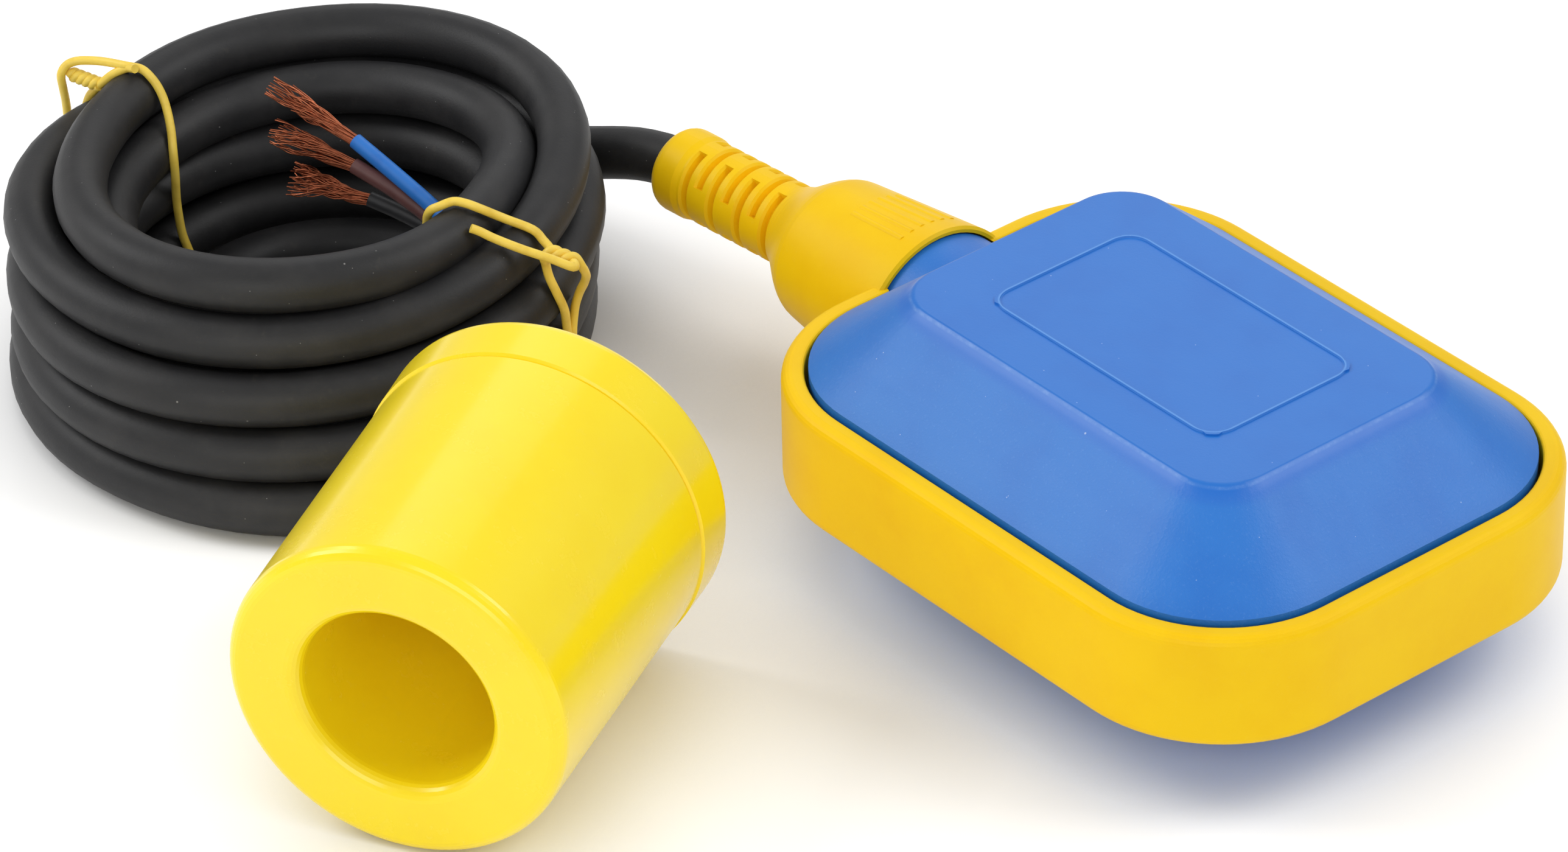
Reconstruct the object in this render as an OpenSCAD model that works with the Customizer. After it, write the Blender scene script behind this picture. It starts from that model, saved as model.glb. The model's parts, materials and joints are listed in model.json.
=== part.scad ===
// Cable float switch: a sealed float with a ball-operated microswitch, its counterweight and its cable

/* [Float body] */
// Length of the band along X
float_length = 104; // [98:1:116]
// Width of the band along Y
float_width = 80; // [76:1:92]
// Height over the two flat faces
float_height = 43; // [43:1:50]
// Wall thickness of the two shells
shell_wall = 2.4; // [2:0.2:3]
// Length of the flat top and bottom faces
plateau_length = 69; // [66:1:76]
// Width of the flat top and bottom faces
plateau_width = 45.4; // [43:0.2:52]
// Corner radius of the flat faces
plateau_corner = 8; // [6:0.5:10]
// Softening of the edges of the flat faces
plateau_edge = 0.8; // [0.4:0.1:1.2]
// Length of the raised frame on the top face
frame_length = 46.6; // [40:0.2:50]
// Width of the raised frame on the top face
frame_width = 27.2; // [22:0.2:30]
// Corner radius of the raised frame
frame_corner = 4; // [3:0.5:6]
// Width of the raised frame's line
frame_line = 0.7; // [0.5:0.1:1]
// Height of the raised frame's line
frame_rise = 0.3; // [0.2:0.1:0.5]

/* [Yellow band] */
// Height of the band
band_height = 18; // [16:0.5:20]
// Thickness of the band at its rim
band_rim = 3.3; // [3:0.1:4]
// Outer corner radius of the band seen from above
band_corner = 23.6; // [20:0.2:26]
// Rounding of the band's outer edges
band_edge = 1.6; // [1:0.1:2]
// Gap between the rim and the shells
rim_gap = 0.6; // [0.4:0.1:1]
// How far the shells' flanges reach into the band's groove
flange_reach = 1.5; // [1.2:0.1:1.8]
// Thickness of each shell's flange
flange_thickness = 2.2; // [1.8:0.1:3]

/* [Collar and strain relief] */
// Radius of the shells' neck at the collar's mouth
neck_radius = 13; // [12.4:0.1:13.4]
// Radius of the neck at its closed end
neck_end_radius = 10.4; // [9.6:0.1:10.8]
// How far the neck reaches behind the band's outer end
neck_reach = 10; // [8:0.5:12]
// Gap between the neck and the collar's mouth
mouth_gap = 0.3; // [0.2:0.05:0.5]
// Wall of the collar at its mouth
mouth_wall = 0.9; // [0.8:0.1:1.4]
// Radius of the collar at its shoulder
collar_radius = 11.6; // [11.2:0.1:12.4]
// Length of the collar behind the band's outer end
collar_length = 19.5; // [17:0.5:21]
// Height of the fine ribs on the collar
rib_rise = 0.2; // [0.1:0.05:0.3]
// Number of fine ribs on the collar
rib_count = 6; // [4:1:8]
// Length of the shoulder
shoulder_length = 12; // [9:0.5:15]
// Radius of the strain relief
relief_radius = 6.3; // [6:0.1:7]
// Radius of the bead at the strain relief's end
bead_radius = 6.6; // [6.2:0.1:7.2]
// Length of the strain relief
relief_length = 23.3; // [22:0.1:30]
// Sideways bend of the strain relief
relief_bend = 4; // [0:1:8]
// Droop of the strain relief
relief_droop = 1; // [0:1:4]
// Number of rings of slots
slot_rings = 7; // [5:1:8]
// Distance from one ring of slots to the next
slot_pitch = 2.82; // [2.5:0.02:3]
// Width of a slot
slot_width = 1.1; // [0.8:0.1:1.3]
// Depth of a slot
slot_depth = 1.3; // [0.8:0.1:1.6]
// Angle that a slot covers at the top and underneath
slot_angle = 128; // [110:2:140]
// Angle that a slot covers at the sides
side_slot_angle = 150; // [130:2:156]

/* [Cable] */
// Outer diameter of the cable
cable_diameter = 8; // [7.6:0.1:8.4]
// Outer diameter of a core's insulation
core_diameter = 2.4; // [2.2:0.1:2.6]
// Distance of each core from the cable's axis
core_offset = 2.1; // [1.9:0.1:2.2]
// Outer radius of the coil
coil_radius = 46; // [46:0.5:48]
// Radius of the coil's opening
coil_opening = 22; // [20:0.5:22]
// How far the jacket reaches into the float
jacket_reach = 2; // [1:0.5:3]
// How far the cores stand in the resin beyond the jacket
potting_cover = 2.5; // [2:0.5:4]
// Height of the coil
coil_height = 37.5; // [36:0.5:40]
// Thickness of the tie wires
tie_diameter = 1.3; // [1:0.1:1.6]

/* [Ball and carrier] */
// Diameter of the steel ball
ball_diameter = 18; // [16:0.5:18]
// Clearance between the ball and its track
ball_play = 0.2; // [0.1:0.05:0.3]
// Travel of the ball
ball_travel = 26.2; // [20:0.2:26.2]
// Thickness of the carrier's floor and walls
carrier_wall = 2; // [1.6:0.1:2.4]
// Height of the track's lower walls above the middle plane
track_split = 4; // [2:0.5:6]
// Width of the carrier under the switch
carrier_width = 32; // [30:0.5:34]
// Place of the rear carrier screws along X
rear_screw_x = -26; // [-28:0.5:-24]
// Place of the rear carrier screws along Y
rear_screw_y = 18; // [17.5:0.1:18.2]
// Place of the front carrier screws along X
front_screw_x = 26; // [22:0.5:27]
// Place of the front carrier screws along Y
front_screw_y = 15; // [14.6:0.1:16]
// Shank diameter of the carrier screws
screw_diameter = 2.8; // [2.4:0.1:3]
// Head diameter of the carrier screws
screw_head = 5.4; // [5:0.1:5.8]
// Length of the carrier screws under the head
screw_length = 7; // [6:0.5:8]

/* [Microswitch] */
// Length of the switch case along Y
switch_length = 27.8; // [27:0.2:29]
// Height of the switch case along X
switch_height = 15.9; // [15:0.1:16.4]
// Thickness of the switch case along Z
switch_thickness = 10.3; // [9.8:0.1:10.8]
// Thickness of the switch cover
switch_cover_thickness = 1.95; // [1.6:0.05:2.1]
// Place of the switch's plunger face along X
switch_face_x = -16.1; // [-16.6:0.1:-15.6]
// Distance between the mounting holes along the case
peg_spacing = 22.2; // [21.6:0.2:22.6]
// Distance of the rear mounting hole from the case's back
peg_back = 2.9; // [2.6:0.1:3.2]
// Distance between the mounting holes across the case
peg_rise = 10.3; // [9.8:0.1:10.5]
// Diameter of the mounting pegs
peg_diameter = 3; // [2.8:0.1:3.1]
// Distance of the lever's pin from the plunger face
pin_stand = 1.4; // [1.4:0.05:1.6]
// Distance of the lever's pin from the ball's line
pin_offset = 11.5; // [11:0.1:12]
// Diameter of the lever's pin
pin_diameter = 1.2; // [1:0.1:1.4]
// Length of the lever
lever_length = 20.4; // [18:0.2:20.4]
// Width of the lever
lever_width = 5; // [4:0.2:5]
// Thickness of the lever
lever_thickness = 0.5; // [0.4:0.05:0.6]
// Tilt of the free lever
lever_tilt = 10; // [9:0.5:11]
// Angle that the lever turns when it is pressed
lever_swing = 8; // [6:0.5:8]
// Place of the plunger along Y
plunger_y = 4.5; // [4:0.1:5]
// Diameter of the plunger
plunger_diameter = 2.6; // [2.2:0.1:2.8]
// Width of the terminal tabs
tab_width = 6.3; // [4.8:0.1:6.3]
// Length of the terminal tabs outside the case
tab_length = 6.5; // [5.5:0.1:6.5]
// Thickness of the terminal tabs
tab_thickness = 0.8; // [0.5:0.1:0.8]
// Distance between the terminal tabs
tab_spacing = 8.9; // [8.5:0.1:9.5]
// How deep the tabs reach into the case
tab_root = 1.2; // [0.8:0.1:1.2]

/* [Counterweight] */
// Length of the counterweight
weight_length = 56.6; // [52:0.2:62]
// Radius of the counterweight at its front
weight_front_radius = 24.7; // [23.5:0.1:25.4]
// Radius of the counterweight at its rear
weight_rear_radius = 25.9; // [25.5:0.1:27]
// Rounding of the counterweight's edges
weight_edge = 2; // [1.5:0.1:2.5]
// Wall of the counterweight's shell
weight_wall = 2; // [1.6:0.1:2.4]
// Length of the counterweight's cap
weight_cap_length = 9.1; // [8:0.1:11]
// Radius of the recess at its mouth
recess_radius = 14; // [13:0.1:14.2]
// Radius of the recess at its floor
recess_floor_radius = 12.6; // [12:0.1:13]
// Rounding of the recess's mouth
recess_edge = 2.2; // [1.5:0.1:2.6]
// Radius of the hole for the cable
weight_hole_radius = 4.75; // [4.5:0.05:5]
// Wall of the boss around the hole
boss_wall = 2.4; // [2:0.1:3]
// How far the cap's spigot reaches into the counterweight
spigot_depth = 8.6; // [6:0.2:12]
// How far the boss round the hole stands into the recess
boss_depth = 3.5; // [2:0.5:5]
// Place of the middle of the counterweight's front face along X
weight_x = -21.9; // [-26:0.1:-18]
// Place of the middle of the counterweight's front face along Y
weight_y = -120.1; // [-124:0.1:-116]
// Direction of the counterweight's axis seen from above
weight_turn = 118.6; // [114:0.2:124]

/* [Hidden] */
$fn = 64;

blue = "#3f78c8";
yellow = "#f6cf26";
bright_yellow = "#f8dc38";
rubber_black = "#3a3a3c";
steel = "#c8cace";
copper = "#b06038";
fit_gap = 0.05;
eps = 0.01;

middle = float_height / 2;
end_x = float_length / 2;
side_y = float_width / 2;
// Radius of the band's opening corners and half sizes of that opening
opening_x = end_x - band_rim;
opening_y = side_y - band_rim;
opening_corner = band_corner - band_rim;
groove_height = flange_thickness + fit_gap;
foot_x = opening_x - rim_gap;
foot_y = opening_y - rim_gap;
foot_corner = opening_corner - rim_gap;
rim_top = band_height / 2;
foot_rise = 0.5;
slope_run = foot_x - plateau_length / 2;
slope_rise = middle - rim_top - foot_rise;
// Horizontal thickness of the sloping wall
slope_wall = shell_wall * sqrt(slope_run * slope_run + slope_rise * slope_rise) / slope_rise;

neck_start = -end_x + 2;
neck_end = -end_x - neck_reach;
neck_inside = 9;
mouth_radius = neck_radius + mouth_gap;
collar_mouth = mouth_radius + mouth_wall;
mouth_recess = 0.7;
rib_radius = 0.5;
rib_near = end_x + 1;
rib_far = end_x + 12.5;
rib_turn = 24;
rib_step = 8;
shoulder_start = -end_x - collar_length;
relief_start = shoulder_start - shoulder_length;
relief_overlap = 4.5;
cable_radius = cable_diameter / 2;
core_radius = core_diameter / 2;
neck_wall = 3;
jacket_end = -end_x + jacket_reach;
potting_end = jacket_end + potting_cover;

ball_radius = ball_diameter / 2;
track_half = ball_radius + ball_play + fit_gap;
track_floor = middle - ball_radius - ball_play;
track_roof = middle + ball_radius + ball_play;
carrier_bottom = track_floor - carrier_wall;

switch_back_x = switch_face_x - switch_height;
switch_bottom = middle - switch_thickness / 2;
switch_top = middle + switch_thickness / 2;
cover_bottom = switch_top - switch_cover_thickness;
peg_back_x = switch_back_x + peg_back;
pin_x = switch_face_x + pin_stand;
pin_radius = pin_diameter / 2;
ear_radius = 1.5;
ear_thickness = switch_cover_thickness + 0.2;
knuckle_radius = 1.2;
lever_back = 0.4;
plunger_radius = plunger_diameter / 2;
plunger_gap = 0.08;
// The plunger's dome just misses the back of the free lever
plunger_dome_x = pin_x + (lever_back - plunger_radius - plunger_gap
    + (pin_offset - plunger_y) * sin(lever_tilt)) / cos(lever_tilt);
plunger_depth = 5;
lever_gap = 0.4;
// The ball stops just short of the free lever
ball_near_x = pin_x + (lever_back + lever_thickness + ball_radius + lever_gap
    + pin_offset * sin(lever_tilt)) / cos(lever_tilt);
ball_x = ball_near_x + ball_travel;
track_end = ball_x + ball_radius + ball_play;
track_start = ball_near_x - ball_radius - 0.8;
carrier_back = switch_back_x - 2;

weight_taper = atan((weight_rear_radius - weight_front_radius) / weight_length);
seam = weight_length - weight_cap_length;
tube_radius = recess_radius + weight_wall;
front_wall = 2.5;
ballast_play = 0.2;
spigot_wall = 2;
spigot_front = seam - spigot_depth;

coil_x = -127.5;
coil_y = -56.5;

// Route of the cable from the strain relief's tip to the coil
lead_route = [[-106.7, -1.94, 21], [-110, -2.4, 20.9], [-114, -3.7, 20.4], [-118, -5.3, 19.4],
              [-122, -6.7, 18.1], [-126, -7.8, 16.8], [-130, -9, 15.4]];
core_starts = [[-112.5, -40.2, 23], [-113.4, -38.6, 20.4], [-114.6, -37.6, 17.8]];
core_ends = [[-131.8, -42.6, 30], [-130.6, -44.9, 27], [-128.8, -43.6, 22.4]];
strand_ends = [[-146.4, -47.8, 36.4], [-145, -48.8, 31.6], [-142, -49.2, 27.6]];

// Quarter-round steps for edge rounding: height and inset for a radius
function edge_steps(r) = [for (a = [0 : 30 : 90]) [r * sin(a), r * (1 - cos(a))]];
// Points of an arc about a centre, from one angle to another
function arc(c, r, a0, a1, n = 6) =
    [for (i = [0 : n]) let (a = a0 + (a1 - a0) * i / n) [c[0] + r * cos(a), c[1] + r * sin(a)]];
function unit(v) = v / norm(v);

// Rounded rectangle of half sizes x and y
module outline(x, y, r) {
    square([2 * (x - r), 2 * y], center = true);
    square([2 * x, 2 * (y - r)], center = true);
    for (sx = [-1, 1], sy = [-1, 1])
        translate([sx * (x - r), sy * (y - r)]) circle(r);
}

module slab(x, y, r, h) {
    linear_extrude(h) outline(x, y, r);
}

// Cylinder along X from one place to another, centred on the middle plane
module x_rod(r, x0, x1, y = 0, z = middle) {
    translate([x0, y, z]) rotate([0, 90, 0]) cylinder(r = r, h = x1 - x0);
}

// Cone along X from one place to another
module x_cone(r0, r1, x0, x1, z = middle) {
    translate([x0, 0, z]) rotate([0, 90, 0]) cylinder(r1 = r0, r2 = r1, h = x1 - x0);
}

// Form of the neck, grown by one amount at its mouth and another at its end
module neck_form(mouth_grow, end_grow, x0, z = middle) {
    x_rod(neck_radius + mouth_grow, neck_start, neck_start + neck_inside, 0, z);
    x_cone(neck_end_radius + end_grow, neck_radius + mouth_grow, x0, neck_start, z);
}

// Straight rod between two points
module rod(a, b, r0, r1) {
    d = b - a;
    translate(a)
        rotate([0, acos(d[2] / norm(d)), atan2(d[1], d[0])])
            cylinder(r1 = r0, r2 = r1, h = norm(d), $fn = 24);
}

// Flexible tube swept along a route
module tube(route, r, sides = 10, reference = [0, 0, 1]) {
    n = len(route);
    tangents = [for (i = [0 : n - 1]) unit(route[min(i + 1, n - 1)] - route[max(i - 1, 0)])];
    points = [for (i = [0 : n - 1])
        let (side = unit(cross(reference, tangents[i])), up = cross(tangents[i], side))
        for (k = [0 : sides - 1])
            route[i] + r * cos(360 * k / sides) * side + r * sin(360 * k / sides) * up];
    faces = concat(
        [[for (k = [0 : sides - 1]) k]],
        [for (i = [0 : n - 2], k = [0 : sides - 1])
            let (k2 = (k + 1) % sides)
            [i * sides + k, (i + 1) * sides + k, (i + 1) * sides + k2, i * sides + k2]],
        [[for (k = [sides - 1 : -1 : 0]) (n - 1) * sides + k]]);
    polyhedron(points, faces, convexity = 4);
}

// Half of the float's outer form above the middle plane, without flange and neck
module shell_form() {
    steps = edge_steps(plateau_edge);
    top = slope_rise + foot_rise + rim_top;
    hull() {
        slab(foot_x, foot_y, foot_corner, rim_top + foot_rise);
        for (s = steps)
            translate([0, 0, top - plateau_edge + s[0] - eps])
                slab(plateau_length / 2 - s[1], plateau_width / 2 - s[1], plateau_corner, eps);
    }
}

module shell_cavity() {
    top = middle - shell_wall;
    inset = slope_wall - shell_wall * slope_run / slope_rise;
    translate([0, 0, -eps]) hull() {
        slab(foot_x - shell_wall, foot_y - shell_wall, foot_corner - shell_wall,
            rim_top + foot_rise - slope_wall * 0.3);
        translate([0, 0, top])
            slab(plateau_length / 2 - inset, plateau_width / 2 - inset, plateau_corner - inset, eps);
    }
}

// One half of the sealed body, drawn above the middle plane at z = 0
module half_shell() {
    difference() {
        union() {
            shell_form();
            slab(opening_x + flange_reach - fit_gap, opening_y + flange_reach - fit_gap,
                opening_corner + flange_reach - fit_gap, flange_thickness);
            intersection() {
                neck_form(0, 0, neck_end, 0);
                translate([neck_end - 1, -neck_radius, 0])
                    cube([neck_reach + 2 * neck_radius, 2 * neck_radius, neck_radius]);
            }
        }
        shell_cavity();
        neck_form(-shell_wall, -shell_wall, neck_end + neck_wall, 0);
        x_rod(cable_radius + fit_gap, neck_end - 1, neck_end + neck_wall + 1, 0, 0);
    }
}

// Post that rises from the lower shell's floor to the carrier
module boss(x, y) {
    translate([x, y, shell_wall - eps])
        difference() {
            cylinder(r = screw_diameter / 2 + 2, h = carrier_bottom - shell_wall + eps, $fn = 32);
            translate([0, 0, carrier_bottom - shell_wall - screw_length + carrier_wall - 0.6])
                cylinder(r = screw_diameter / 2 + fit_gap, h = screw_length + 1, $fn = 32);
        }
}

module each_screw() {
    for (s = [-1, 1]) {
        translate([rear_screw_x, s * rear_screw_y, 0]) children();
        translate([front_screw_x, s * front_screw_y, 0]) children();
    }
}

module lower_shell() {
    color(blue) {
        translate([0, 0, middle]) mirror([0, 0, 1]) half_shell();
        each_screw() boss(0, 0);
    }
}

// Rib under the upper shell's roof that holds the track's cover down
module cover_rib(x) {
    rib_bottom = track_roof + carrier_wall;
    translate([x, -track_half, rib_bottom])
        cube([1.6, 2 * track_half, float_height - shell_wall - rib_bottom + eps]);
}

module upper_shell() {
    color(blue) {
        translate([0, 0, middle]) half_shell();
        translate([0, 0, float_height - eps])
            difference() {
                slab(frame_length / 2, frame_width / 2, frame_corner, frame_rise);
                translate([0, 0, -eps])
                    slab(frame_length / 2 - frame_line, frame_width / 2 - frame_line,
                        frame_corner - frame_line, frame_rise + 1);
            }
        cover_rib(track_start + 4);
        cover_rib(track_end - 6);
    }
}

// Sweeps a profile round a rounded rectangle; the profile's X starts at the corner's centre
module rounded_sweep(x, y, r) {
    for (k = [0 : 3]) {
        across = k % 2 == 0 ? y - r : x - r;
        along = k % 2 == 0 ? x - r : y - r;
        rotate([0, 0, 90 * k]) {
            translate([along, across, 0]) rotate_extrude(angle = 90) children();
            translate([-along, across, 0]) rotate([90, 0, 90]) linear_extrude(2 * along) children();
        }
    }
}

// Section of the band: rounded outer edges, softened rim and the groove for the shells' flanges
module band_section() {
    lip = 0.5;
    outer = band_corner;
    inner = opening_corner;
    polygon(concat(
        arc([outer - band_edge, rim_top - band_edge], band_edge, 0, 90, 5),
        arc([inner + lip, rim_top - lip], lip, 90, 180, 3),
        [[inner, groove_height], [inner + flange_reach, groove_height],
         [inner + flange_reach, -groove_height], [inner, -groove_height]],
        arc([inner + lip, lip - rim_top], lip, 180, 270, 3),
        arc([outer - band_edge, band_edge - rim_top], band_edge, 270, 360, 5)));
}

// Outer form of the collar, from its mouth to the foot of its shoulder
module collar_form() {
    mouth_x = opening_x + mouth_recess;
    lip = 0.4;
    foot = relief_radius - 0.2;
    shoulder = [for (i = [0 : 12]) let (t = i / 12)
        [foot + (collar_radius - foot) * (1 + cos(180 * pow(t, 0.9))) / 2,
         -shoulder_start + shoulder_length * t]];
    translate([0, 0, middle]) rotate([0, -90, 0]) {
        rotate_extrude()
            polygon(concat([[0, mouth_x], [collar_mouth - lip, mouth_x], [collar_mouth, mouth_x + lip]],
                shoulder, [[0, -relief_start]]));
        // Fine ribs along the top of the collar
        for (i = [0 : rib_count - 1])
            rotate([0, 0, rib_turn - rib_step * i])
                rod([collar_near(rib_near) - rib_radius, 0, rib_near],
                    [collar_near(rib_far) - rib_radius, 0, rib_far],
                    rib_radius + rib_rise, rib_radius + rib_rise);
    }
}

// Radius of the tapered collar at a distance from the middle of the float
function collar_near(x) = collar_radius + (collar_mouth - collar_radius)
    * (-shoulder_start - x) / (-shoulder_start - opening_x - mouth_recess);

// Places its children with the strain relief's axis along X, its start at zero
module relief_place() {
    translate([relief_start + relief_overlap, 0, middle])
        rotate([0, -relief_droop, relief_bend]) children();
}

module relief_form() {
    tip = relief_length + relief_overlap;
    bead = 5.2;
    round_tip = 2;
    relief_place() rotate([0, -90, 0])
        rotate_extrude()
            polygon(concat([[0, 0], [relief_radius, 0], [relief_radius, tip - bead - 1],
                            [bead_radius, tip - bead]],
                arc([bead_radius - round_tip, tip - round_tip], round_tip, 0, 90),
                [[0, tip]]));
}

// Staggered slots that let the strain relief bend
module relief_slots() {
    first = 2.8;
    bottom = relief_radius - slot_depth;
    soft = 0.35;
    relief_place() rotate([0, -90, 0])
        for (i = [0 : slot_rings - 1], half = [0, 180]) {
            side = i % 2 == 0;
            reach = side ? side_slot_angle : slot_angle;
            translate([0, 0, first + i * slot_pitch])
                rotate([0, 0, half + (side ? 90 : 0) - reach / 2])
                    rotate_extrude(angle = reach)
                        polygon([[bottom, soft / 2], [relief_radius - soft, 0],
                                 [relief_radius + 1, -soft - 1], [relief_radius + 1, slot_width + soft + 1],
                                 [relief_radius - soft, slot_width], [bottom, slot_width - soft / 2]]);
        }
}

module band_and_boot() {
    color(yellow)
    difference() {
        union() {
            translate([0, 0, middle]) rounded_sweep(end_x, side_y, band_corner) band_section();
            collar_form();
            relief_form();
        }
        neck_form(mouth_gap, 2 * fit_gap, neck_end - 0.2);
        x_rod(cable_radius + fit_gap, relief_start + relief_overlap - 0.6, neck_end);
        relief_place() rotate([0, -90, 0]) translate([0, 0, -0.4])
            cylinder(r = cable_radius + 2 * fit_gap, h = relief_length + relief_overlap + 2);
        relief_slots();
        translate([0, 0, middle - groove_height])
            slab(opening_x + flange_reach, opening_y + flange_reach, opening_corner + flange_reach,
                2 * groove_height);
    }
}

// Places its children at each of the three cores about the X axis
module each_core() {
    for (a = [90, 210, 330])
        translate([0, core_offset * cos(a), core_offset * sin(a)]) children();
}

// Resin that seals the cable's end in the neck
module potting() {
    color("#c8b48a")
    difference() {
        intersection() {
            neck_form(-shell_wall - fit_gap, -shell_wall - fit_gap, neck_end + neck_wall);
            x_rod(neck_radius, neck_end + neck_wall + fit_gap, potting_end);
        }
        x_rod(cable_radius + fit_gap, neck_end, jacket_end);
        each_core() x_rod(core_radius + fit_gap, jacket_end - 1, potting_end + 1);
    }
}

// Held stretch of the cable, from the potting through the strain relief
module cable_entry() {
    bend = [relief_start + relief_overlap, 0, middle];
    along = [-cos(relief_bend) * cos(relief_droop), -sin(relief_bend) * cos(relief_droop),
             -sin(relief_droop)];
    color(rubber_black)
        tube([[jacket_end - fit_gap, 0, middle], bend, bend + (relief_length + relief_overlap) * along],
            cable_radius, 12);
}

module carrier() {
    pad_radius = peg_diameter / 2 + 1.5;
    floor_front = track_end + carrier_wall;
    ear_reach = screw_head / 2 + 1;
    color("gainsboro")
    difference() {
        union() {
            translate([carrier_back, -carrier_width / 2, carrier_bottom])
                cube([track_start - carrier_back, carrier_width, carrier_wall]);
            translate([track_start, -track_half - carrier_wall, carrier_bottom])
                cube([floor_front - track_start, 2 * (track_half + carrier_wall), carrier_wall]);
            each_screw() translate([0, 0, carrier_bottom])
                cylinder(r = ear_reach, h = carrier_wall, $fn = 32);
            translate([front_screw_x - ear_reach, -front_screw_y, carrier_bottom])
                cube([2 * ear_reach, 2 * front_screw_y, carrier_wall]);
            translate([rear_screw_x - ear_reach, -rear_screw_y, carrier_bottom])
                cube([2 * ear_reach, 2 * rear_screw_y, carrier_wall]);
            for (s = [-1, 1])
                translate([track_start, s * (track_half + carrier_wall / 2) - carrier_wall / 2,
                           carrier_bottom])
                    cube([floor_front - track_start, carrier_wall,
                          middle + track_split - carrier_bottom]);
            translate([track_end, -track_half - carrier_wall, carrier_bottom])
                cube([carrier_wall, 2 * (track_half + carrier_wall),
                      middle + track_split - carrier_bottom]);
            for (s = [-1, 1])
                translate([peg_back_x + (s + 1) / 2 * peg_rise, s * peg_spacing / 2, 0]) {
                    translate([0, 0, track_floor - eps])
                        cylinder(r = pad_radius, h = switch_bottom - track_floor + eps, $fn = 32);
                    translate([0, 0, track_floor])
                        cylinder(r = peg_diameter / 2, h = switch_top + 0.8 - track_floor, $fn = 32);
                }
        }
        each_screw() translate([0, 0, carrier_bottom - 1])
            cylinder(r = screw_diameter / 2 + 0.2, h = carrier_wall + 2, $fn = 32);
    }
}

// Upper half of the ball's track
module track_cover() {
    bottom = middle + track_split;
    length = track_end + carrier_wall - track_start;
    color("gainsboro")
    difference() {
        translate([track_start, -track_half - carrier_wall, bottom])
            cube([length, 2 * (track_half + carrier_wall), track_roof + carrier_wall - bottom]);
        translate([track_start - 1, -track_half, bottom - 1])
            cube([length - carrier_wall + 1, 2 * track_half, track_roof - bottom + 1]);
    }
}

module carrier_screws() {
    head_height = screw_head / 3;
    slot = screw_head / 9;
    color(steel)
    each_screw() translate([0, 0, track_floor]) {
        difference() {
            cylinder(r = screw_head / 2, h = head_height, $fn = 32);
            for (turn = [0, 90])
                rotate([0, 0, turn]) translate([-2.5 * slot, -slot / 2, head_height / 2])
                    cube([5 * slot, slot, head_height]);
        }
        translate([0, 0, -screw_length])
            cylinder(r = screw_diameter / 2, h = screw_length, $fn = 32);
    }
}

module steel_ball() {
    color(steel) translate([ball_x, 0, middle]) sphere(ball_radius);
}

// Bracket ear that holds one end of the lever's pin
module ear(bottom, height) {
    translate([pin_x, pin_offset, bottom])
        difference() {
            union() {
                cylinder(r = ear_radius, h = height, $fn = 32);
                translate([-pin_stand, -ear_radius, 0]) cube([pin_stand, 2 * ear_radius, height]);
            }
            translate([0, 0, -1]) cylinder(r = pin_radius, h = height + 2, $fn = 32);
        }
}

module case_block(bottom, height) {
    difference() {
        translate([switch_back_x, -switch_length / 2, bottom])
            cube([switch_height, switch_length, height]);
        for (s = [-1, 1])
            translate([peg_back_x + (s + 1) / 2 * peg_rise, s * peg_spacing / 2, bottom - 1])
                cylinder(r = peg_diameter / 2 + fit_gap, h = height + 2, $fn = 32);
    }
}

module switch_case() {
    color("#26282c") {
        difference() {
            case_block(switch_bottom, cover_bottom - switch_bottom);
            x_rod(plunger_radius + fit_gap, switch_face_x - plunger_depth - 1.6, switch_face_x + 1,
                plunger_y);
            each_tab() tab(fit_gap);
        }
        ear(switch_bottom, ear_thickness);
    }
}

module switch_cover() {
    color("#7b2f2a") {
        case_block(cover_bottom, switch_cover_thickness);
        ear(cover_bottom, switch_cover_thickness);
    }
}

// Button that the lever presses
module plunger() {
    color("ivory") {
        x_rod(plunger_radius, switch_face_x - plunger_depth, plunger_dome_x, plunger_y);
        translate([plunger_dome_x, plunger_y, middle]) sphere(plunger_radius, $fn = 32);
    }
}

module lever() {
    knuckle_bottom = switch_bottom + ear_thickness + 0.15;
    knuckle_height = cover_bottom - 0.15 - knuckle_bottom;
    color(steel)
    difference() {
        union() {
            translate([pin_x, pin_offset, knuckle_bottom])
                cylinder(r = knuckle_radius, h = knuckle_height, $fn = 32);
            translate([pin_x, pin_offset, middle - lever_width / 2])
                rotate([0, 0, lever_tilt])
                    translate([lever_back, -lever_length, 0])
                        cube([lever_thickness, lever_length, lever_width]);
        }
        translate([pin_x, pin_offset, switch_bottom])
            cylinder(r = pin_radius + fit_gap, h = switch_thickness, $fn = 32);
    }
}

module lever_pin() {
    color(steel)
    translate([pin_x, pin_offset, switch_bottom - 0.2])
        cylinder(r = pin_radius, h = switch_thickness + 0.4, $fn = 32);
}

module tab(gap = 0) {
    translate([switch_back_x - tab_length, -tab_width / 2 - gap, middle - tab_thickness / 2 - gap])
        cube([tab_length + tab_root + gap, tab_width + 2 * gap, tab_thickness + 2 * gap]);
}

module each_tab() {
    for (i = [-1 : 1]) translate([0, i * tab_spacing, 0]) children();
}

module terminal(i) {
    color("#c9a24a") translate([0, i * tab_spacing, 0]) tab();
}

module terminal_common() { terminal(0); }
module terminal_open() { terminal(-1); }
module terminal_closed() { terminal(1); }

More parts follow.
